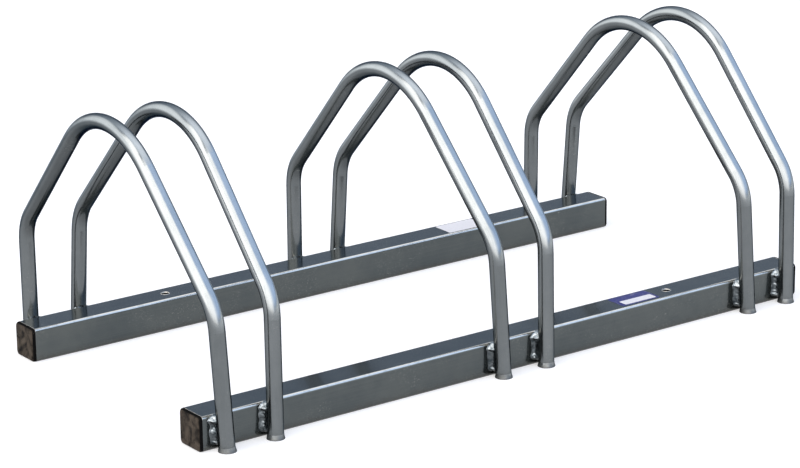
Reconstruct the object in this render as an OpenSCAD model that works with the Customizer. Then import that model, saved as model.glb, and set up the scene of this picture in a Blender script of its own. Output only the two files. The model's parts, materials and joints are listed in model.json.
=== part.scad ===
// Floor bike rack with three wheel bays: six bent hoops of round tube, in pairs,
// welded to the outer faces of two square rails that lie on the floor.
// Millimetres. X runs along the rails, Y from front to rear and Z up.
// The origin is on the floor under the middle of the rack.

/* [Rails] */
// Outside size of the square rail tube
rail_size = 35; // [30:1:45]
// Wall of the rail tube
rail_wall = 1.5; // [1.2:0.1:2.5]
// Outside corner radius of the rail tube
rail_corner = 3; // [2.7:0.1:4]
// Distance between the centre lines of the two rails
rail_spacing = 312; // [280:1:350]
// From the outermost hoop to the end of the rail tube
end_margin = 20; // [16:1:60]

/* [Hoops] */
// Outside diameter of the hoop tube
tube_d = 16; // [14:0.5:18]
// Wall of the hoop tube
tube_wall = 1.2; // [1:0.1:2]
// Height of the hoops above the floor
hoop_height = 285; // [265:1:310]
// Slope of the two long sides above the horizontal, in degrees
slope_angle = 46.5; // [44:0.5:50]
// Lean of the legs towards the middle of the rack, in degrees
leg_lean = 3; // [2:0.5:4]
// Centre-line radius of the bend at the top
top_bend = 95; // [80:1:105]
// Centre-line radius of the bends above the legs
knee_bend = 50; // [40:1:85]
// How much the tube's radius draws in round a bend
bend_draw = 0.05; // [0.04:0.01:0.1]
// How far the cropped foot of a leg flares beyond the tube
foot_flare = 1; // [0.6:0.1:1.4]
// Height of the flare at the foot
foot_flare_height = 6; // [4:0.5:8]

/* [Wheel bays] */
// Distance from one wheel bay to the next
bay_pitch = 325; // [280:1:360]
// Distance between the two hoops of a bay, measured at the floor
bay_gap = 54; // [46:1:70]
// Sideways lean of each hoop, away from its bay, in degrees
hoop_splay = 1.7; // [1:0.1:2.4]

/* [Fixing holes] */
// Diameter of the floor fixing holes, drilled down through the rails
hole_d = 8.5; // [6:0.5:11]
// From the end of the rail tube to its fixing hole
hole_inset = 164; // [140:1:200]

/* [End caps] */
// Thickness of the cap's head, outside the tube
cap_head = 4; // [3:0.5:6]
// Rounding of the head's outer edges
cap_round = 2.8; // [1:0.1:3]
// Corner radius of the head's outline
cap_corner = 3.6; // [3:0.1:5]
// Length of the plug inside the tube
cap_plug = 16; // [10:1:24]
// Wall of the hollow plug
cap_wall = 1.8; // [1.4:0.1:2.4]
// Gap between the plug's wall and the tube
cap_gap = 0.8; // [0.5:0.1:1.2]
// Thickness of each gripping rib round the plug
cap_rib = 1.2; // [0.8:0.1:1.6]
// Gap between a rib and the tube
rib_gap = 0.1; // [0.05:0.05:0.3]

/* [Welds] */
// Radius of the ripples of a weld bead
bead_r = 3.4; // [2.8:0.1:3.8]
// How much fuller the bead's top end is than its ripples
bead_end = 0.6; // [0.4:0.1:0.8]
// From the floor to the middle of a bead's lowest ripple
bead_low = 7.5; // [7:0.5:10]
// From a rail's top to the middle of a bead's highest ripple
bead_high = 4.5; // [4.2:0.1:6]
// From the middle of a leg to the middle of the bead beside it, past the tube's radius
bead_out = 0.6; // [0:0.1:1]
// Depth of the bead's middle in front of the rail's face
bead_depth = 1.8; // [1.4:0.1:2.4]

/* [Hidden] */
$fn = 48;
bays = 3;
tube_r = tube_d / 2;
bore_r = tube_r - tube_wall;
rail_length = (bays - 1) * bay_pitch + bay_gap + 2 * end_margin;
rail_inner = rail_size - 2 * rail_wall;
inner_corner = rail_corner - rail_wall;
// Outer face of a rail, from the middle of the rack
face_y = rail_spacing / 2 + rail_size / 2;
// Highest point of the rail's flat outer face, where a leaning leg touches it
touch_z = rail_size - rail_corner;
leg_gap = 0.05;
// Axis of a leg, from the middle of the rack, at the height where the leg touches
touch_y = face_y + leg_gap + tube_r / cos(leg_lean);

// The hoop's centre line, as a half outline in its own plane
top_z = (hoop_height - tube_r) / cos(hoop_splay) - top_bend;
peak_z = top_z + top_bend / cos(slope_angle);
knee_y = (touch_y - (peak_z - touch_z) * tan(leg_lean)) / (1 - tan(slope_angle) * tan(leg_lean));
knee_z = peak_z - knee_y * tan(slope_angle);
knee_angle = 90 - leg_lean - slope_angle;
knee_tangent = knee_bend * tan(knee_angle / 2);
slope_run = knee_y / cos(slope_angle) - knee_tangent - top_bend * tan(slope_angle);
leg_run = knee_z / cos(leg_lean) - knee_tangent;
// How far a bend reaches into the straight tube at each of its ends
bend_seat = 0.5;
// How far a leg is made past the floor before its foot is cropped level
crop = 2;

bead_ripples = 7;
bead_length = rail_size - bead_high - bead_low;
// Size of the blocks that trim a solid
block = 100;

function bay_x(bay) = (bay - (bays + 1) / 2) * bay_pitch;
function side_name(side) = side < 0 ? "left" : "right";
function hoop_node(bay, side) = str("bay_", bay, "_", side_name(side), "_hoop");
function weld_node(bay, side, end) =
    str("bay_", bay, "_", side_name(side), end < 0 ? "_front_weld" : "_rear_weld");
function cap_node(side, end) = str(end < 0 ? "front_" : "rear_", side_name(side), "_cap");
function rail_node(end) = end < 0 ? "front_rail" : "rear_rail";

ends = [-1, 1];
sides = [-1, 1];

// A square with rounded corners
module rounded_square(size, corner) {
    square([size - 2 * corner, size], center = true);
    square([size, size - 2 * corner], center = true);
    for (x = [-1, 1], y = [-1, 1])
        translate([x, y] * (size / 2 - corner)) circle(r = corner);
}

// A bar of rounded square section along X, centred on the origin
module square_bar(length, size, corner) {
    rotate([90, 0, 90]) linear_extrude(length, center = true) rounded_square(size, corner);
}

// Places its children at the middle of the front (-1) or rear (1) rail
module at_rail(end) {
    translate([0, end * rail_spacing / 2, rail_size / 2]) children();
}

// One rail: a square tube, drilled once, nearer its left end at the rear and its right end at the front
module rail(end) {
    color("slategray") at_rail(end) difference() {
        rotate([90, 0, 90]) linear_extrude(rail_length, center = true) difference() {
            rounded_square(rail_size, rail_corner);
            rounded_square(rail_inner, inner_corner);
        }
        translate([-end * (rail_length / 2 - hole_inset), 0, 0])
            cylinder(h = rail_size + 2, d = hole_d, center = true);
    }
}

// A bend of round bar in the XY plane about the origin, from the X axis anticlockwise.
// It reaches a little into the straight bars at its two ends.
module bend(radius, angle, r) {
    seat = bend_seat / radius * 180 / PI;
    rotate([0, 0, -seat]) rotate_extrude(angle = angle + 2 * seat)
        translate([radius, 0]) circle(r = r - bend_draw);
}

// A straight round bar along Y that starts where a bend of that radius ends
module run(radius, length, r) {
    translate([radius, 0, 0]) rotate([-90, 0, 0]) cylinder(h = length, r = r);
}

// The leg's foot, which flares out in a curve where the tube was cropped
module flared_foot(radius, r) {
    sweep = (pow(foot_flare_height, 2) + pow(foot_flare, 2)) / (2 * foot_flare);
    translate([radius, leg_run, 0]) rotate([-90, 0, 0]) rotate_extrude() difference() {
        translate([0, -foot_flare_height]) square([r + foot_flare, foot_flare_height + crop]);
        translate([r - bend_draw + sweep, -foot_flare_height]) circle(r = sweep);
    }
}

// One side of the hoop, from the end of the top bend down to the foot
module hoop_side(r, flared) {
    rotate([0, 0, 90 + slope_angle]) {
        run(top_bend, slope_run, r);
        translate([top_bend - knee_bend, slope_run, 0]) {
            bend(knee_bend, knee_angle, r);
            rotate([0, 0, knee_angle]) {
                run(knee_bend, leg_run + crop, r);
                if (flared) flared_foot(knee_bend, r);
            }
        }
    }
}

// The hoop as a solid bar in the XY plane, centred on the middle of its top bend
module hoop_bar(r, flared = false) {
    rotate([0, 0, 90 - slope_angle]) bend(top_bend, 2 * slope_angle, r);
    for (turn = [0, 1]) mirror([turn, 0, 0]) hoop_side(r, flared);
}

// Places its children in the leaning plane of one hoop, with Z along the hoop's height
module at_hoop(bay, side) {
    translate([bay_x(bay) + side * bay_gap / 2, 0, 0]) rotate([0, side * hoop_splay, 0]) children();
}

// Everything below the floor
module below_floor(x) {
    translate([x, 0, -block / 2]) cube([block, 2 * (face_y + block), block], center = true);
}

// One hoop: a bent tube, open at both feet, which are cropped level with the floor
module hoop(bay, side) {
    color("lightsteelblue") difference() {
        at_hoop(bay, side) translate([0, 0, top_z]) rotate([90, 0, 90]) hoop_bar(tube_r, true);
        at_hoop(bay, side) translate([0, 0, top_z]) rotate([90, 0, 90]) hoop_bar(bore_r);
        below_floor(bay_x(bay) + side * bay_gap / 2);
    }
}

// A leg as a straight bar, in the plane of its hoop
module leg_bar(end) {
    translate([0, end * touch_y, touch_z]) rotate([end * leg_lean, 0, 0])
        cylinder(h = 2 * rail_size, r = tube_r, center = true);
}

// One bead: a row of ripples that run into each other, the last of them fuller
module bead() {
    last = bead_ripples - 1;
    for (i = [0 : last])
        translate([0, 0, bead_low + bead_length * i / last]) rotate([90, 0, 0])
            sphere(r = bead_r + (i == last ? bead_end : 0));
}

// One weld: a bead up each side of the leg, in the corner between the leg and the rail's face
module weld(bay, side, end) {
    color("silver") difference() {
        at_hoop(bay, side) difference() {
            for (edge = sides)
                translate([edge * (tube_r + bead_out), end * (face_y + bead_depth), 0]) bead();
            leg_bar(end);
        }
        at_rail(end) square_bar(rail_length, rail_size, rail_corner);
    }
}

// The cap's head: a rounded square plate with its outer edges rounded over
module cap_head_plate() {
    hull() {
        linear_extrude(cap_head - cap_round) rounded_square(rail_size, cap_corner);
        for (step = [1 : 4]) let (turn = 22.5 * step)
            translate([0, 0, cap_head - cap_round * (1 - sin(turn))]) linear_extrude(0.01)
                rounded_square(rail_size - 2 * cap_round * (1 - cos(turn)), cap_corner);
    }
}

// One end cap: the head, a hollow plug and the ribs that grip the tube
module end_cap(side, end) {
    plug_size = rail_inner - 2 * cap_gap;
    plug_corner = max(inner_corner - cap_gap, 0.4);
    rib_size = rail_inner - 2 * rib_gap;
    color([0.16, 0.14, 0.13]) at_rail(end) translate([side * rail_length / 2, 0, 0])
        rotate([90, 0, side * 90]) {
            cap_head_plate();
            difference() {
                union() {
                    translate([0, 0, -cap_plug]) linear_extrude(cap_plug + 0.5)
                        rounded_square(plug_size, plug_corner);
                    for (place = [0.35, 0.75])
                        translate([0, 0, -cap_plug * place - cap_rib / 2]) linear_extrude(cap_rib)
                            rounded_square(rib_size, max(inner_corner - rib_gap, 0.4));
                }
                translate([0, 0, -cap_plug - 1]) linear_extrude(cap_plug + 1)
                    rounded_square(plug_size - 2 * cap_wall, 0.4);
            }
        }
}

for (end = ends)
    rail(end);
for (bay = [1 : bays], side = sides)
    hoop(bay, side);
for (end = ends, side = sides)
    end_cap(side, end);
for (bay = [1 : bays], side = sides, end = ends)
    weld(bay, side, end);
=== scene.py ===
"""Finishes and photographs the floor bike rack: zinc plated tube hoops on two square rails.

All lengths are in metres, in the rack's own frame: X along the rails, Y from the front rail
to the rear one, Z up from the floor, with the origin under the middle of the rack.
"""

import json
import math
import random

import bmesh
import bpy
from mathutils import Matrix, Vector, noise


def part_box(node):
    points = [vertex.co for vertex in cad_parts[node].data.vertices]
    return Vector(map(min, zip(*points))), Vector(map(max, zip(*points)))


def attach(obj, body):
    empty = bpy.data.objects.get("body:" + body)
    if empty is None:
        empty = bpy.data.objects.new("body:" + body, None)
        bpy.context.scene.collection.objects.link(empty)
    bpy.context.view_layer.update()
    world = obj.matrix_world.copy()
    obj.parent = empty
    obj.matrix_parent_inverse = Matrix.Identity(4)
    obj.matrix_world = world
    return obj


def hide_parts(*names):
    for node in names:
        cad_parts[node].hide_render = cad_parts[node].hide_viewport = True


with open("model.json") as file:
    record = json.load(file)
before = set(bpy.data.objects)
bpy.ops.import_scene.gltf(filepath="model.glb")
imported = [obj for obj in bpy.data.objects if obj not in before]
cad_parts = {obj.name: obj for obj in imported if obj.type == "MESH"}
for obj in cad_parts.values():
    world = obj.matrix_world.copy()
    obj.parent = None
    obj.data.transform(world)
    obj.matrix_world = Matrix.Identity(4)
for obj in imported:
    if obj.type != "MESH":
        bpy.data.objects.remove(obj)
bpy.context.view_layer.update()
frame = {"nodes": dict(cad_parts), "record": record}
mm = 0.001

# The camera, worked out from the photograph: its place, its turn in degrees, and its lens
# and sensor in millimetres
CAMERA_PLACE = (-1.7169, -2.3448, 1.0047)
CAMERA_AZIMUTH = -35.91
CAMERA_ELEVATION = 17.33
CAMERA_ROLL = -0.66
CAMERA_LENS = 132.79
CAMERA_SENSOR = 36.0

# The tubes as they are bent and drawn: a leg's radius, its lean inwards and sideways in
# degrees, and the corner radius of the rails
LEG_RADIUS = 8 * mm
LEG_LEAN = 3.0
LEG_SPLAY = 1.7
RAIL_CORNER = 3 * mm

# The weld beads: where they start above the floor and stop below the rail's top, the height
# over which they grow and end, and how deep their edges are sunk in the tubes
BEAD_START = 4.5 * mm
BEAD_STOP = 0.2 * mm
BEAD_TAPER = 5.0 * mm
BEAD_SINK = 0.25 * mm
# How far a bead reaches along the rail from the leg's middle, in mm: at its ends, and how much
# its body, a sway and the full end add
REACH_AT_ENDS = 6.0
REACH_OF_BODY = 6.2
REACH_OF_SWAY = 1.4
REACH_OF_TOP_BLOB = 1.2
# How far a bead's face is drawn in, in mm, and how much a sway takes off that
HOLLOW_OF_BODY = 3.0
HOLLOW_OF_SWAY = 0.5
# How far round the leg a bead takes hold, in degrees
HOLD_AT_ENDS = 30
HOLD_OF_BODY = 42
HOLD_OF_TOP_BLOB = 4
# The full end under the rail's top: how far down it is in mm, its size, both between two
# limits, then how proud it stands in mm and how high it spreads
TOP_BLOB_DROP = (5.6, 6.8)
TOP_BLOB_SIZE = (0.85, 1.15)
TOP_BLOB_PROUD = 1.9
TOP_BLOB_SPREAD = 1.9 * mm
# The small blob where a bead starts: its height above the floor, how proud it stands in mm
# and how high it spreads
LOW_BLOB_HEIGHT = 7.5 * mm
LOW_BLOB_PROUD = 0.9
LOW_BLOB_SPREAD = 1.3 * mm
# Where the blobs stand between leg and rail, and how far they spread, as shares of the way
BLOB_MIDDLE = 0.45
BLOB_BREADTH = 0.24
# How proud the lumps stand, how many there are to a metre, how far apart the beads' lumps may
# be picked, and the length of a sway
BEAD_LUMPS = 0.40 * mm
BEAD_LUMP_SCALE = 420.0
BEAD_LUMP_PICK = 50
BEAD_SWAY_LENGTH = 6 * mm
BEAD_SEED = 7

# The burr round a fixing hole, as points of its section in mm: out from the hole's edge, and
# up from the rail's top
HOLE_BURR = ((-0.12, -3.0), (-0.10, 0.05), (0.15, 0.26), (0.50, 0.24), (0.85, 0.0),
             (0.80, -0.2), (0.3, -3.0))
# The burr along a sawn end: half its width, and how flat it is
SAWN_BURR = 0.22 * mm
SAWN_BURR_FLATNESS = 0.8

# The labels: thickness of the film, corner radii, and how far each stands off the rail
FILM_THICKNESS = 0.12 * mm
LABEL_CORNER = 2 * mm
BAR_CORNER = 1 * mm
LABEL_LIFT = 0.02 * mm
BAR_LIFT = 0.13 * mm

# Colours of the finishes, as linear red, green and blue
ZINC_RAIL = (0.041, 0.052, 0.056)
ZINC_RAIL_PALE = (0.088, 0.097, 0.092)
ZINC_HOOP = (0.112, 0.123, 0.125)
ZINC_HOOP_PALE = (0.160, 0.170, 0.171)
ZINC_WELD = (0.034, 0.042, 0.046)
ZINC_WELD_PALE = (0.130, 0.142, 0.146)
# Bright bare metal, also used as a painted highlight along the rails' corners
ZINC_BARE_AND_SHEEN = (0.730, 0.705, 0.640)
ZINC_BURR = (0.360, 0.365, 0.355)
HOOP_RIM_TINT = (0.20, 0.22, 0.25)
FLOOR_GRIME = (0.060, 0.058, 0.052)
CAP_BLACK = (0.004, 0.004, 0.004)
CAP_SCUFFED = (0.078, 0.064, 0.050)
LABEL_BLUE = (0.026, 0.030, 0.165)
LABEL_WHITE = (0.740, 0.730, 0.750)
LABEL_EDGE_GREY = (0.400, 0.390, 0.410)

# How much the marks on a finish show in its colour, from 0 to 1
LINES_SHOW = 0.30
SCRATCHES_SHOW = 0.4
CAP_SCRATCHES_SHOW = 0.5
RUB_SHOWS = 0.25
# How much the marks on a finish add to its roughness
CLOUDS_ROUGHEN = 0.06
WELD_CLOUDS_ROUGHEN = 0.10
SCRATCHES_ROUGHEN = 0.10
GRIME_ROUGHENS = 0.35
RUB_ROUGHENS = 0.2
# How high the fine relief of a finish stands
PLATING_RELIEF = 0.015 * mm
WELD_RELIEF = 0.22 * mm
CAP_RELIEF = 0.05 * mm
LABEL_RELIEF = 0.03 * mm

# The floor: half its side, its colour, and the glow that lets it read white
FLOOR_HALF = 40.0
FLOOR_PALE = (0.620, 0.620, 0.620)
FLOOR_GLOW = 0.46

# The studio's surround, as radiance by direction
HORIZON_WHITE = (1.0, 1.0, 1.0)
LOW_SLATE = (0.21, 0.25, 0.32)
HIGH_SLATE = (0.34, 0.39, 0.46)
OVERHEAD = (0.38, 0.42, 0.48)
ARCH_WHITE = (2.55, 2.44, 2.40)
ARCH_BLUE = (0.80, 1.01, 1.41)
SKYLIGHT = (1.20, 1.24, 1.36)
WINDOW_WHITE = (2.26, 2.18, 2.18)
CARD_WHITE = (1.6, 1.6, 1.64)
# Where the surround's slates lie, by the height that a direction points at
HORIZON_TOP = 0.09
SLATES = ((0.17, LOW_SLATE), (0.38, LOW_SLATE), (0.60, HIGH_SLATE))
# Directions that the lights are laid out by: the line of the hoops' front slopes, and the
# middles of the left panel, the window's left end and the card
SLOPE_LINE = (0.0, 0.688, 0.725)
PANEL_LINE = (-0.985, 0.174, 0.0)
WINDOW_LINE = (-0.77, -0.64, 0.0)
CARD_LINE = (-0.565, 0.785, 0.25)
# The arch's two soft edges, which the window and the skylight share: where each starts to
# change along the slope line, and where it has changed
ARCH_FRONT_EDGE = (0.17, 0.23)
ARCH_BACK_EDGE = (0.40, 0.46)


class Graph:
    """Adds nodes to one node tree, with values or links fed to their inputs."""

    def __init__(self, tree):
        self.tree = tree

    def feed(self, node, name, value):
        if isinstance(value, bpy.types.NodeSocket):
            self.tree.links.new(value, node.inputs[name])
        else:
            node.inputs[name].default_value = value

    def add(self, kind, inputs=None, **settings):
        node = self.tree.nodes.new(kind)
        for name, value in settings.items():
            setattr(node, name, value)
        for name, value in (inputs or {}).items():
            self.feed(node, name, value)
        return node

    def math(self, operation, first, second=0.0, clamp=False):
        inputs = {0: first, 1: second}
        return self.add("ShaderNodeMath", inputs, operation=operation, use_clamp=clamp).outputs[0]

    def chain(self, operation, first, others):
        for other in others:
            first = self.math(operation, first, other)
        return first

    def total(self, first, *others):
        return self.chain("ADD", first, others)

    def times(self, first, *others):
        return self.chain("MULTIPLY", first, others)

    def largest(self, first, *others):
        return self.chain("MAXIMUM", first, others)

    def mix(self, factor, first, second):
        """Blends two colours."""
        node = self.add("ShaderNodeMix", {"Factor": factor}, data_type="RGBA")
        for name, value in (("A", first), ("B", second)):
            socket = next(s for s in node.inputs if s.name == name and s.type == "RGBA")
            if isinstance(value, bpy.types.NodeSocket):
                self.tree.links.new(value, socket)
            else:
                socket.default_value = (*value, 1.0)
        return next(s for s in node.outputs if s.type == "RGBA")

    def remap(self, value, low, high, to_low=0.0, to_high=1.0):
        """Takes a range of a value smoothly to another range."""
        inputs = {"Value": value, "From Min": low, "From Max": high,
                  "To Min": to_low, "To Max": to_high}
        node = self.add("ShaderNodeMapRange", inputs, interpolation_type="SMOOTHSTEP")
        return node.outputs["Result"]

    def fade(self, value, low, high):
        """Falls smoothly from one to nothing over a range of a value."""
        return self.remap(value, low, high, to_low=1.0, to_high=0.0)

    def noise(self, vector, scale, detail=3.0, roughness=0.5, distortion=0.0):
        node = self.add("ShaderNodeTexNoise", {"Vector": vector, "Scale": scale, "Detail": detail,
                                               "Roughness": roughness, "Distortion": distortion})
        return node.outputs["Fac"]

    def vector(self, operation, inputs):
        return self.add("ShaderNodeVectorMath", inputs, operation=operation).outputs

    def stretch(self, vector, scale):
        """Scales a position or a direction, axis by axis."""
        return self.vector("MULTIPLY", {0: vector, 1: scale})["Vector"]

    def shade(self, colour, amount):
        """Makes a colour brighter or darker."""
        return self.vector("SCALE", {0: colour, "Scale": amount})["Vector"]

    def along(self, direction, line):
        """How far a direction points along a line."""
        return self.vector("DOT_PRODUCT", {0: direction, 1: line})["Value"]

    def place(self):
        """The position on the object, in metres."""
        return self.add("ShaderNodeTexCoord").outputs["Object"]

    def facing(self):
        """The direction that the surface faces, as three numbers."""
        normal = self.add("ShaderNodeTexCoord").outputs["Normal"]
        return self.add("ShaderNodeSeparateXYZ", {"Vector": normal}).outputs

    def bump(self, height, distance):
        inputs = {"Height": height, "Strength": 1.0, "Distance": distance}
        return self.add("ShaderNodeBump", inputs).outputs["Normal"]

    def effect(self, name, **inputs):
        """Places one of the shared effects, with its own values."""
        return self.add("ShaderNodeGroup", inputs, node_tree=EFFECTS[name]).outputs


def new_group(name, inputs, outputs, vectors=()):
    """An empty node group with named sockets, which hold numbers, or three numbers if they are
    named in vectors: its graph, its inputs and its output node."""
    tree = bpy.data.node_groups.new(name, "ShaderNodeTree")
    for labels, side in ((inputs, "INPUT"), (outputs, "OUTPUT")):
        for label in labels:
            kind = "NodeSocketVector" if label in vectors else "NodeSocketFloat"
            tree.interface.new_socket(label, in_out=side, socket_type=kind)
    graph = Graph(tree)
    return graph, graph.add("NodeGroupInput").outputs, graph.add("NodeGroupOutput")


def plating_clouds():
    """Soft cloudy patches in the plating, where it is a little thicker or thinner."""
    graph, given, out = new_group("Plating clouds", ["Scale", "Contrast"], ["Mask"])
    finer = graph.times(given["Scale"], 7.0)
    broad = graph.noise(graph.place(), scale=given["Scale"], detail=4.0, roughness=0.55,
                        distortion=0.4)
    fine = graph.noise(graph.place(), scale=finer, roughness=0.6)
    spangle = graph.noise(graph.place(), scale=780.0, detail=2.0, roughness=0.6)
    layers = ((broad, 0.62), (fine, 0.24), (spangle, 0.14))
    clouds = graph.total(*(graph.times(layer, share) for layer, share in layers))
    centred = graph.times(graph.math("SUBTRACT", clouds, 0.5), given["Contrast"])
    graph.feed(out, "Mask", graph.math("ADD", centred, 0.5, clamp=True))
    return graph.tree


def drawn_lines():
    """Fine lines that the drawing die leaves. Stretch squeezes them to run along the tube."""
    graph, given, out = new_group("Drawn lines", ["Stretch"], ["Mask", "Height"],
                                  vectors=["Stretch"])
    squeezed = graph.stretch(graph.place(), given["Stretch"])
    lines = graph.noise(squeezed, scale=1.0, detail=5.0, roughness=0.65)
    graph.feed(out, "Mask", graph.remap(lines, low=0.42, high=0.66))
    graph.feed(out, "Height", lines)
    return graph.tree


def handling_scratches():
    """Short hair-thin scratches in three directions, gathered in patches."""
    graph, given, out = new_group("Handling scratches", ["Scale", "Amount"], ["Mask"])
    masks = []
    for angle, squeeze in ((0.35, (0.05, 1.0, 1.0)), (1.15, (1.0, 0.06, 1.0)),
                           (2.4, (1.0, 1.0, 0.045))):
        turn = {"Vector": graph.place(), "Axis": (0.5, 0.3, 0.8), "Angle": angle}
        turned = graph.add("ShaderNodeVectorRotate", turn).outputs["Vector"]
        hairs = graph.noise(graph.stretch(turned, squeeze), scale=given["Scale"], detail=1.0)
        masks.append(graph.remap(hairs, low=0.70, high=0.76))
    broad = graph.noise(graph.place(), scale=21.0, detail=2.0)
    lines = graph.times(graph.largest(*masks), graph.remap(broad, low=0.46, high=0.62))
    graph.feed(out, "Mask", graph.math("MULTIPLY", lines, given["Amount"], clamp=True))
    return graph.tree


def floor_grime():
    """Dirt that gathers low down, up to Reach above the floor."""
    graph, given, out = new_group("Floor grime", ["Reach", "Amount"], ["Mask"])
    height = graph.add("ShaderNodeSeparateXYZ", {"Vector": graph.place()}).outputs["Z"]
    uneven = graph.noise(graph.place(), scale=160.0, detail=4.0, roughness=0.7)
    reach = graph.times(given["Reach"], graph.times(uneven, 1.4))
    low = graph.fade(graph.math("DIVIDE", height, reach), low=0.0, high=1.0)
    graph.feed(out, "Mask", graph.math("MULTIPLY", low, given["Amount"], clamp=True))
    return graph.tree


def painted_facing_light():
    """Painted light and shade by the way the plating faces: its colour is scaled by Above where it
    faces up and by Crest as well where it faces up most, as painted light, and by Below where it
    faces the ground, as painted shade."""
    graph, given, out = new_group("Painted facing light", ["Above", "Crest", "Below"], ["Shade"])
    upward = graph.facing()["Z"]
    above = graph.remap(upward, low=0.02, high=0.36, to_low=1.0, to_high=given["Above"])
    crest = graph.remap(upward, low=0.66, high=0.84, to_low=1.0, to_high=given["Crest"])
    below = graph.remap(upward, low=-0.42, high=-0.06, to_low=given["Below"], to_high=1.0)
    graph.feed(out, "Shade", graph.times(above, crest, below))
    return graph.tree


def corner_wear_and_sheen():
    """Bright metal on rounded corners, found where the surface faces along no one axis: partly
    worn metal, partly a painted highlight along the edges. The corners that face the floor get
    neither."""
    graph, given, out = new_group("Corner wear and sheen", ["Amount"], ["Mask"])
    facing = graph.facing()
    sizes = [graph.math("ABSOLUTE", facing[axis]) for axis in "XYZ"]
    corner = graph.fade(graph.largest(*sizes), low=0.88, high=0.99)
    uneven = graph.noise(graph.place(), scale=90.0, detail=4.0, roughness=0.7)
    patchy = graph.remap(uneven, low=0.30, high=0.55, to_low=0.72, to_high=1.0)
    off_floor = graph.remap(facing["Z"], low=-0.30, high=0.0)
    worn = graph.times(corner, patchy, off_floor)
    graph.feed(out, "Mask", graph.math("MULTIPLY", worn, given["Amount"], clamp=True))
    return graph.tree


def moulded_grain():
    """The fine dull grain of moulded plastic and of printed film."""
    graph, given, out = new_group("Moulded grain", ["Scale"], ["Height"])
    graph.feed(out, "Height", graph.noise(graph.place(), scale=given["Scale"], roughness=0.7))
    return graph.tree


# The shared effects, by the names of the functions that make them
EFFECTS = {make.__name__: make() for make in
           (plating_clouds, drawn_lines, handling_scratches, floor_grime, painted_facing_light, corner_wear_and_sheen,
            moulded_grain)}


def new_material(name):
    """A material with its graph and its Principled shader."""
    material = bpy.data.materials.new(name)
    material.use_nodes = True
    return material, Graph(material.node_tree), material.node_tree.nodes["Principled BSDF"]


def zinc_plate(name, deep, pale, roughness, stretch, clouds, corners=0.0, above=1.0, crest=1.0,
               below=1.0, rim_tint=(1.0, 1.0, 1.0), coat=0.0):
    """Bright zinc plating on steel. Stretch makes its drawn lines run along the tube, clouds is
    the scale of its patches, and corners how strong the bright corners are: partly worn metal,
    partly a painted highlight. Above, crest and below scale its colour by the way it faces, as
    painted light on upward faces and painted shade on the undersides."""
    material, graph, shader = new_material(name)
    cloud = graph.effect("plating_clouds", Scale=clouds, Contrast=2.4)["Mask"]
    lines = graph.effect("drawn_lines", Stretch=stretch)
    scratches = graph.effect("handling_scratches", Scale=1500.0, Amount=0.6)["Mask"]
    grime = graph.effect("floor_grime", Reach=11 * mm, Amount=0.75)["Mask"]
    # Corner mask: partly worn metal, partly a painted highlight along the corners
    worn = graph.effect("corner_wear_and_sheen", Amount=corners)["Mask"]
    # Painted light and shade: the colour is scaled up on upward faces and down on the undersides
    painted_light = graph.effect("painted_facing_light", Above=above, Crest=crest, Below=below)["Shade"]
    colour = graph.mix(cloud, deep, pale)
    colour = graph.mix(graph.times(lines["Mask"], LINES_SHOW), colour, pale)
    colour = graph.shade(colour, painted_light)
    # Bright bare metal from scratches, and on the corners partly a painted highlight
    bare_and_sheen = graph.largest(worn, graph.times(scratches, SCRATCHES_SHOW))
    colour = graph.mix(bare_and_sheen, colour, ZINC_BARE_AND_SHEEN)
    graph.feed(shader, "Base Color", graph.mix(grime, colour, FLOOR_GRIME))
    graph.feed(shader, "Roughness", graph.total(graph.times(cloud, CLOUDS_ROUGHEN), roughness,
                                                graph.times(scratches, SCRATCHES_ROUGHEN),
                                                graph.times(grime, GRIME_ROUGHENS)))
    relief = graph.math("SUBTRACT", lines["Height"], scratches)
    graph.feed(shader, "Normal", graph.bump(relief, PLATING_RELIEF))
    shader.inputs["Metallic"].default_value = 1.0
    shader.inputs["Specular Tint"].default_value = (*rim_tint, 1.0)
    shader.inputs["Coat Weight"].default_value = coat
    shader.inputs["Coat Roughness"].default_value = 0.05
    return material


def weld_zinc(roughness):
    """Plated weld metal, speckled and lumpier than the tubes."""
    material, graph, shader = new_material("weld_zinc")
    cloud = graph.effect("plating_clouds", Scale=210.0, Contrast=5.0)["Mask"]
    grime = graph.effect("floor_grime", Reach=9 * mm, Amount=0.6)["Mask"]
    # Painted light and shade: the weld's colour is scaled up where it faces up and down where it
    # faces the ground
    painted_light = graph.effect("painted_facing_light", Above=4.0, Crest=1.0, Below=0.62)["Shade"]
    colour = graph.shade(graph.mix(cloud, ZINC_WELD, ZINC_WELD_PALE), painted_light)
    graph.feed(shader, "Base Color", graph.mix(grime, colour, FLOOR_GRIME))
    rough = graph.total(graph.times(cloud, WELD_CLOUDS_ROUGHEN), roughness)
    graph.feed(shader, "Roughness", rough)
    lumps = graph.noise(graph.place(), scale=560.0, roughness=0.65)
    graph.feed(shader, "Normal", graph.bump(lumps, WELD_RELIEF))
    shader.inputs["Metallic"].default_value = 1.0
    return material


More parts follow.
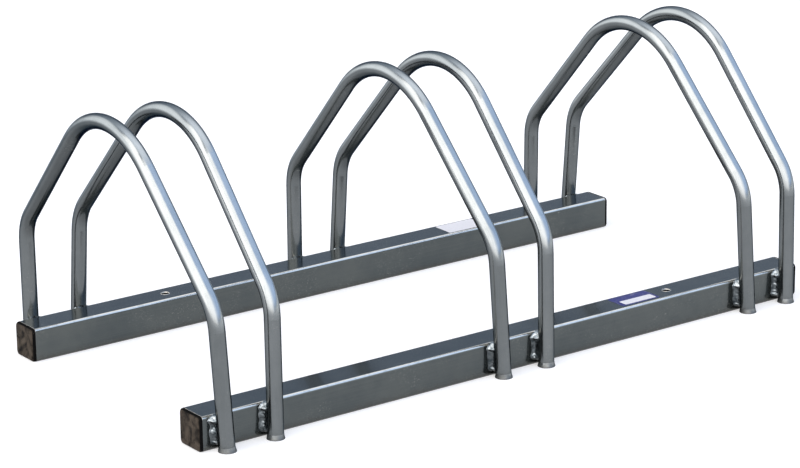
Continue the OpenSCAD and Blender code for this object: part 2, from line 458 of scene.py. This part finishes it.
def cap_plastic():
    """Black moulded plastic, scuffed brown on the face that gets kicked."""
    material, graph, shader = new_material("cap_plastic")
    face = graph.remap(graph.math("ABSOLUTE", graph.facing()["X"]), low=0.55, high=0.95)
    uneven = graph.noise(graph.place(), scale=62.0, detail=6.0, roughness=0.66, distortion=0.8)
    rubbed = graph.times(graph.remap(uneven, low=0.30, high=0.68), face)
    scratches = graph.effect("handling_scratches", Scale=900.0, Amount=0.9)["Mask"]
    colour = graph.mix(rubbed, CAP_BLACK, CAP_SCUFFED)
    colour = graph.mix(graph.times(scratches, CAP_SCRATCHES_SHOW), colour, CAP_SCUFFED)
    graph.feed(shader, "Base Color", colour)
    rough = graph.remap(face, low=0.0, high=1.0, to_low=0.60, to_high=0.50)
    graph.feed(shader, "Roughness", rough)
    grain = graph.effect("moulded_grain", Scale=1500.0)["Height"]
    relief = graph.math("SUBTRACT", grain, scratches)
    graph.feed(shader, "Normal", graph.bump(relief, CAP_RELIEF))
    shader.inputs["Specular IOR Level"].default_value = 0.02
    return material


def label_film(name, colour, edge_colour, roughness):
    """Printed label film, slightly rubbed."""
    material, graph, shader = new_material(name)
    uneven = graph.noise(graph.place(), scale=210.0, detail=5.0, roughness=0.7)
    rub = graph.remap(uneven, low=0.52, high=0.75)
    scratches = graph.effect("handling_scratches", Scale=1100.0, Amount=0.7)["Mask"]
    worn = graph.largest(graph.times(rub, RUB_SHOWS), graph.times(scratches, SCRATCHES_SHOW))
    graph.feed(shader, "Base Color", graph.mix(worn, colour, edge_colour))
    graph.feed(shader, "Roughness", graph.total(graph.times(rub, RUB_ROUGHENS), roughness))
    grain = graph.effect("moulded_grain", Scale=420.0)["Height"]
    graph.feed(shader, "Normal", graph.bump(grain, LABEL_RELIEF))
    return material


def place_mesh(name, mesh, material):
    """Turns a mesh in the making into an object in the scene."""
    data = bpy.data.meshes.new(name)
    mesh.to_mesh(data)
    mesh.free()
    data.materials.append(material)
    placed = bpy.data.objects.new(name, data)
    bpy.context.scene.collection.objects.link(placed)
    return placed


def finish_piece(name, mesh, material, smooth=False):
    """Turns a mesh in the making into a piece that rides with the rack."""
    bmesh.ops.recalc_face_normals(mesh, faces=mesh.faces)
    for face in mesh.faces:
        face.smooth = smooth
    piece = place_mesh(name, mesh, material)
    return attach(piece, "root")


def join_rings(mesh, rings, closed):
    """Skins a row of rings of points with quads. Closed joins the last ring to the first,
    and otherwise a face closes each end."""
    loops = [[mesh.verts.new(point) for point in ring] for ring in rings]
    next_loops = loops[1:] + loops[:1] if closed else loops[1:]
    for near, far in zip(loops, next_loops):
        for i in range(len(near)):
            j = (i + 1) % len(near)
            mesh.faces.new((near[i], near[j], far[j], far[i]))
    if not closed:
        mesh.faces.new(loops[0])
        mesh.faces.new(loops[-1])


def rounded_outline(length, width, corner):
    """The points round a level rectangle with rounded corners, about its middle."""
    steps = 6
    outline = []
    for side_x, side_y, start in ((1, 1, 0), (-1, 1, 90), (-1, -1, 180), (1, -1, 270)):
        for step in range(steps + 1):
            turn = math.radians(start + 90 * step / steps)
            outline.append(Vector((side_x * (length / 2 - corner) + corner * math.cos(turn),
                                   side_y * (width / 2 - corner) + corner * math.sin(turn), 0)))
    return outline


def label(name, rail, middle, front, length, width, material, lift=LABEL_LIFT,
          corner=LABEL_CORNER):
    """A label stuck on top of a rail. Middle is its place along the rail, and front is the
    distance from the rail's front face to the label's front edge."""
    low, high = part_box(rail)
    bottom = Vector((middle, low.y + front + width / 2, high.z + lift))
    outline = rounded_outline(length, width, corner)
    rings = [[bottom + point + Vector((0, 0, z)) for point in outline]
             for z in (0, FILM_THICKNESS)]
    mesh = bmesh.new()
    join_rings(mesh, rings, closed=False)
    finish_piece(name, mesh, material)


def stick_labels():
    """The two labels on the rails. The blue one has a plain white bar across it."""
    blue = label_film("label_blue", LABEL_BLUE, LABEL_WHITE, roughness=0.34)
    white = label_film("label_white", LABEL_WHITE, LABEL_EDGE_GREY, roughness=0.38)
    label("blue_label", "front_rail", middle=164 * mm, front=5 * mm, length=49 * mm,
          width=26 * mm, material=blue)
    label("blue_label_bar", "front_rail", middle=165 * mm, front=7 * mm, length=41 * mm,
          width=11 * mm, material=white, lift=BAR_LIFT, corner=BAR_CORNER)
    label("white_label", "rear_rail", middle=177 * mm, front=3 * mm, length=50 * mm,
          width=28 * mm, material=white)


def foot_centre(hoop, end):
    """The middle of a hoop's front (-1) or rear (1) foot, on the floor."""
    on_floor = 0.1 * mm
    points = [vert.co for vert in frame["nodes"][hoop].data.vertices]
    ring = [point for point in points if point.z < on_floor and point.y * end > 0]
    return Vector(((min(p.x for p in ring) + max(p.x for p in ring)) / 2,
                   (min(p.y for p in ring) + max(p.y for p in ring)) / 2, 0))


class WeldCorner:
    """The corner between one side of a leg and the outer face of its rail. Edge is the leg's
    left (-1) or right (1) side, and end tells the front (-1) from the rear (1)."""

    def __init__(self, node, edge):
        self.edge = edge
        self.end = -1 if "_front_" in node else 1
        self.side = -1 if "_left_" in node else 1
        rail = "front_rail" if self.end < 0 else "rear_rail"
        low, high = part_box(rail)
        self.face_y = max(abs(low.y), abs(high.y))
        self.rail_top = high.z
        hoop = node.replace("_front_weld", "_hoop").replace("_rear_weld", "_hoop")
        self.foot = foot_centre(hoop, self.end)

    def leg_middle(self, z):
        """The middle of the leaning leg at height z."""
        lean = math.tan(math.radians(LEG_LEAN))
        splay = math.tan(math.radians(LEG_SPLAY))
        return Vector((self.foot.x + self.side * splay * z, self.foot.y - self.end * lean * z, z))

    def rail_face(self, z):
        """Where the rail's face is at height z, which turns in at the top corner."""
        rise = min(max(z - (self.rail_top - RAIL_CORNER), 0.0), RAIL_CORNER)
        return self.end * (self.face_y - RAIL_CORNER + math.sqrt(RAIL_CORNER ** 2 - rise ** 2))


def bead_section(corner, z, reach, hollow, hold, blob, lumps):
    """One level section of a weld bead at height z: a hollow fillet that runs out along the
    leg and along the rail. Reach is how far it goes along the rail from the leg's middle, hold
    how far round the leg it takes hold, in degrees from the side that touches the rail, hollow
    how far it is drawn in, and blob how proud its middle stands."""
    edge, end = corner.edge, corner.end
    middle = corner.leg_middle(z)
    wall = corner.rail_face(z)
    turn = math.radians(hold)
    on_leg = middle + Vector((edge * LEG_RADIUS * math.sin(turn),
                              -end * LEG_RADIUS * math.cos(turn), 0))
    on_rail = Vector((middle.x + edge * reach, wall, z))
    down_leg = on_leg + Vector((-edge * math.cos(turn), -end * math.sin(turn), 0)) * hollow
    along_rail = on_rail + Vector((-edge * hollow, 0, 0))
    outward = Vector((edge, end, 0)).normalized()
    steps = 12
    curve = []
    for step in range(steps + 1):
        share = step / steps
        point = (on_leg * (1 - share) ** 3 + down_leg * 3 * share * (1 - share) ** 2
                 + along_rail * 3 * share ** 2 * (1 - share) + on_rail * share ** 3)
        lump = BEAD_LUMPS * noise.noise(point * BEAD_LUMP_SCALE + lumps)
        proud = lump * 4 * share * (1 - share)
        proud += blob * math.exp(-((share - BLOB_MIDDLE) / BLOB_BREADTH) ** 2)
        curve.append(point + outward * proud)
    inner_rail = on_rail + Vector((0, -end * BEAD_SINK, 0))
    inner_middle = Vector((middle.x, wall - end * BEAD_SINK, z))
    inner_leg = middle + (on_leg - middle) * (1 - BEAD_SINK / LEG_RADIUS)
    return [inner_leg, *curve, inner_rail, inner_middle]


def bead_rings(corner, rng):
    """The sections of one bead: a small blob where it starts, a hollow fillet with low lumps
    above that, and a full blob where it stops under the rail's top corner."""
    low, top = BEAD_START, corner.rail_top - BEAD_STOP
    lumps = Vector((rng.uniform(0, BEAD_LUMP_PICK), rng.uniform(0, BEAD_LUMP_PICK),
                    rng.uniform(0, BEAD_LUMP_PICK)))
    blob_height = corner.rail_top - rng.uniform(*TOP_BLOB_DROP) * mm
    blob_size = rng.uniform(*TOP_BLOB_SIZE)
    sections = 80
    rings = []
    for i in range(sections + 1):
        z = low + (top - low) * i / sections
        start = min((z - low) / BEAD_TAPER, 1.0)
        finish = min((top - z) / BEAD_TAPER, 1.0)
        body = math.sqrt(start * (2 - start)) * math.sqrt(finish * (2 - finish))
        top_blob = blob_size * math.exp(-((z - blob_height) / TOP_BLOB_SPREAD) ** 2)
        low_blob = math.exp(-((z - LOW_BLOB_HEIGHT) / LOW_BLOB_SPREAD) ** 2)
        sway = noise.noise(Vector((z / BEAD_SWAY_LENGTH, 0, 0)) + lumps)
        reach = (REACH_AT_ENDS + body * (REACH_OF_BODY + REACH_OF_SWAY * sway
                                         + REACH_OF_TOP_BLOB * top_blob)) * mm
        hollow = body * (HOLLOW_OF_BODY - HOLLOW_OF_SWAY * sway) * mm
        hold = HOLD_AT_ENDS + body * (HOLD_OF_BODY + HOLD_OF_TOP_BLOB * top_blob)
        blob = body * (TOP_BLOB_PROUD * top_blob + LOW_BLOB_PROUD * low_blob) * mm
        rings.append(bead_section(corner, z, reach, hollow, hold, blob, lumps))
    return rings


def lay_beads(material):
    """Both beads of each weld, in the corners between a leg and the face of its rail."""
    rng = random.Random(BEAD_SEED)
    for node in (name for name in frame["nodes"] if name.endswith("_weld")):
        mesh = bmesh.new()
        for edge in (-1, 1):
            join_rings(mesh, bead_rings(WeldCorner(node, edge), rng), closed=False)
        bead = finish_piece(node + "_bead", mesh, material, smooth=True)
        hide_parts(node)


def line_holes(material):
    """The thin burr that the drill left round each fixing hole, plated with the rest."""
    steps = 48
    for mount in frame["record"]["mounts"]:
        if mount["kind"] != "bore":
            continue
        middle = Vector(mount["pos_m"])
        top = middle.z + mount["dims"]["length_mm"] * mm / 2
        radius = mount["dims"]["r_mm"] * mm
        rings = []
        for step in range(steps):
            turn = 2 * math.pi * step / steps
            outward = Vector((math.cos(turn), math.sin(turn), 0))
            rings.append([Vector((middle.x, middle.y, top + rise * mm))
                          + outward * (radius + out * mm) for out, rise in HOLE_BURR])
        mesh = bmesh.new()
        join_rings(mesh, rings, closed=True)
        finish_piece(mount["name"] + "_burr", mesh, material, smooth=True)


def burr_ring(middle, outward):
    """The flattened ring round one point of a sawn edge. Outward points off the tube."""
    sides = 8
    ring = []
    for side in range(sides):
        turn = 2 * math.pi * side / sides
        rise = outward * (SAWN_BURR * SAWN_BURR_FLATNESS * math.sin(turn))
        ring.append(middle + rise + Vector((SAWN_BURR * math.cos(turn), 0, 0)))
    return ring


def line_ends(material):
    """The bright burr that the saw left along the top edge of each rail's ends, beside the
    caps."""
    steps = 8
    for rail in ("front_rail", "rear_rail"):
        low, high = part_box(rail)
        middle = (low + high) / 2
        half = (high - low) / 2
        for side, along in (("left", -1), ("right", 1)):
            rings = []
            for across, start in ((1, 0), (-1, 90)):
                corner = Vector((middle.x + along * (half.x - SAWN_BURR),
                                 middle.y + across * (half.y - RAIL_CORNER),
                                 high.z - RAIL_CORNER))
                for step in range(steps + 1):
                    turn = math.radians(start + 90 * step / steps)
                    outward = Vector((0, math.cos(turn), math.sin(turn)))
                    rings.append(burr_ring(corner + outward * RAIL_CORNER, outward))
            mesh = bmesh.new()
            join_rings(mesh, rings, closed=False)
            name = rail.replace("_rail", "_") + side + "_sawn_edge"
            finish_piece(name, mesh, material, smooth=True)


def dress_rack():
    """Gives each CAD node its finish, and the welds, holes and sawn ends their detail."""
    # Above, crest and below paint light on upward faces and shade on undersides; corners paints a
    # highlight along the rails' corners together with their wear
    rail = zinc_plate("rail_zinc", ZINC_RAIL, ZINC_RAIL_PALE, roughness=0.14,
                      stretch=(3.0, 900.0, 900.0), clouds=9.0, corners=0.95, above=2.9, coat=0.5)
    hoop = zinc_plate("hoop_zinc", ZINC_HOOP, ZINC_HOOP_PALE, roughness=0.16,
                      stretch=(1100.0, 40.0, 40.0), clouds=16.0, above=2.9, crest=1.2, below=0.64,
                      rim_tint=HOOP_RIM_TINT)
    burr = zinc_plate("burr_zinc", ZINC_BURR, ZINC_BARE_AND_SHEEN, roughness=0.22,
                      stretch=(900.0, 900.0, 900.0), clouds=60.0)
    weld = weld_zinc(roughness=0.15)
    finishes = {"rail": rail, "hoop": hoop, "weld": weld, "cap": cap_plastic()}
    for name, node in frame["nodes"].items():
        node.data.materials.clear()
        node.data.materials.append(finishes[name.rsplit("_", 1)[1]])
    lay_beads(weld)
    line_holes(burr)
    line_ends(burr)


def aim_camera():
    """Sets the camera where the photograph was taken from."""
    azimuth = math.radians(CAMERA_AZIMUTH)
    elevation = math.radians(CAMERA_ELEVATION)
    roll = math.radians(CAMERA_ROLL)
    back = Vector((math.sin(azimuth) * math.cos(elevation),
                   -math.cos(azimuth) * math.cos(elevation), math.sin(elevation)))
    level = Vector((math.cos(azimuth), math.sin(azimuth), 0))
    upright = back.cross(level)
    right = math.cos(roll) * level + math.sin(roll) * upright
    turn = Matrix((right, back.cross(right), back)).transposed().to_4x4()
    data = bpy.data.cameras.new("camera")
    data.lens = CAMERA_LENS
    data.sensor_width = CAMERA_SENSOR
    camera = bpy.data.objects.new("camera", data)
    camera.matrix_world = Matrix.Translation(CAMERA_PLACE) @ turn
    bpy.context.scene.collection.objects.link(camera)
    bpy.context.scene.camera = camera


def floor_pale():
    """A pale floor finish that glows where it is seen, and lights nothing by that glow."""
    material, graph, shader = new_material("floor_pale")
    shader.inputs["Base Color"].default_value = (*FLOOR_PALE, 1.0)
    shader.inputs["Roughness"].default_value = 0.9
    shader.inputs["Specular IOR Level"].default_value = 0.0
    shader.inputs["Emission Color"].default_value = (1.0, 1.0, 1.0, 1.0)
    rays = graph.add("ShaderNodeLightPath").outputs
    seen = graph.largest(rays["Is Camera Ray"], rays["Is Glossy Ray"], rays["Is Transmission Ray"])
    graph.feed(shader, "Emission Strength", graph.times(seen, FLOOR_GLOW))
    return material


def lay_floor():
    """A plain pale floor that reads white and still takes the rack's soft shadow."""
    mesh = bmesh.new()
    corners = ((-1, -1), (1, -1), (1, 1), (-1, 1))
    mesh.faces.new([mesh.verts.new((x * FLOOR_HALF, y * FLOOR_HALF, 0)) for x, y in corners])
    floor = place_mesh("floor", mesh, floor_pale())


class Surround(Graph):
    """The studio round the rack, as light by direction. Each light is a mask with soft edges,
    by where a direction points: x to the right, y to the back, z up, and round_slope towards
    the line of the hoops' front slopes."""

    def __init__(self, tree):
        super().__init__(tree)
        self.direction = self.add("ShaderNodeTexCoord").outputs["Generated"]
        parts = self.add("ShaderNodeSeparateXYZ", {"Vector": self.direction}).outputs
        self.x = parts["X"]
        self.y = parts["Y"]
        self.z = parts["Z"]
        self.round_slope = self.along(self.direction, SLOPE_LINE)
        self.above_floor = self.remap(self.z, low=0.0, high=0.05)

    def backdrop(self):
        """White at the horizon and slate above it."""
        ramp = self.add("ShaderNodeValToRGB", {"Fac": self.z})
        stops = ramp.color_ramp.elements
        stops[0].position = HORIZON_TOP
        stops[0].color = (*HORIZON_WHITE, 1.0)
        stops[1].position = 1.0
        stops[1].color = (*OVERHEAD, 1.0)
        for height, colour in SLATES:
            stops.new(height).color = (*colour, 1.0)
        return ramp.outputs["Color"]

    def arch(self):
        """A broad light overhead, at a steady angle round the line of the front slopes."""
        return self.times(self.remap(self.round_slope, *ARCH_FRONT_EDGE),
                          self.fade(self.round_slope, *ARCH_BACK_EDGE), self.above_floor)

    def left_panel(self):
        """A tall panel on the left that carries the arch down to the floor."""
        level = self.vector("NORMALIZE", {0: self.stretch(self.direction, (1.0, 1.0, 0.0))})
        leftward = self.along(level["Vector"], PANEL_LINE)
        return self.times(self.remap(leftward, low=0.86, high=0.95),
                          self.fade(self.z, low=0.92, high=0.98), self.above_floor)

    def skylight(self):
        """A softer light beyond the arch on the right, over the hoops' crowns."""
        return self.times(self.remap(self.x, low=-0.45, high=-0.10),
                          self.fade(self.y, low=0.10, high=0.75),
                          self.remap(self.round_slope, *ARCH_BACK_EDGE),
                          self.remap(self.z, low=0.35, high=0.60))

    def window(self, panel):
        """A window below the front of the arch, which reaches the floor at its left end."""
        left_end = self.remap(self.along(self.direction, WINDOW_LINE), low=0.50, high=0.72)
        tall = self.largest(left_end, self.remap(self.z, low=0.0, high=0.35))
        return self.times(tall, self.above_floor, self.fade(self.round_slope, *ARCH_FRONT_EDGE),
                          self.math("SUBTRACT", 1.0, panel))

    def card(self):
        """A soft card behind on the left."""
        middle = self.remap(self.along(self.direction, CARD_LINE), low=0.76, high=0.97)
        return self.times(middle, self.above_floor)


def light_studio():
    """Lays an arch with a panel on the left, a skylight, a window and a card over the studio's
    backdrop. The arch and the window are white on the left and turn blue on the right."""
    world = bpy.data.worlds.new("surround")
    bpy.context.scene.world = world
    world.use_nodes = True
    around = Surround(world.node_tree)
    panel = around.left_panel()
    arch_right = around.remap(around.x, low=-0.25, high=0.15)
    arch_colour = around.mix(arch_right, ARCH_WHITE, ARCH_BLUE)
    window_right = around.remap(around.x, low=-0.45, high=0.50)
    window_colour = around.mix(window_right, WINDOW_WHITE, ARCH_BLUE)
    colour = around.mix(around.largest(around.arch(), panel), around.backdrop(), arch_colour)
    colour = around.mix(around.skylight(), colour, SKYLIGHT)
    colour = around.mix(around.window(panel), colour, window_colour)
    colour = around.mix(around.card(), colour, CARD_WHITE)
    around.feed(world.node_tree.nodes["Background"], "Color", colour)


bpy.context.scene.view_settings.view_transform = "Standard"
aim_camera()
dress_rack()
stick_labels()
lay_floor()
light_studio()
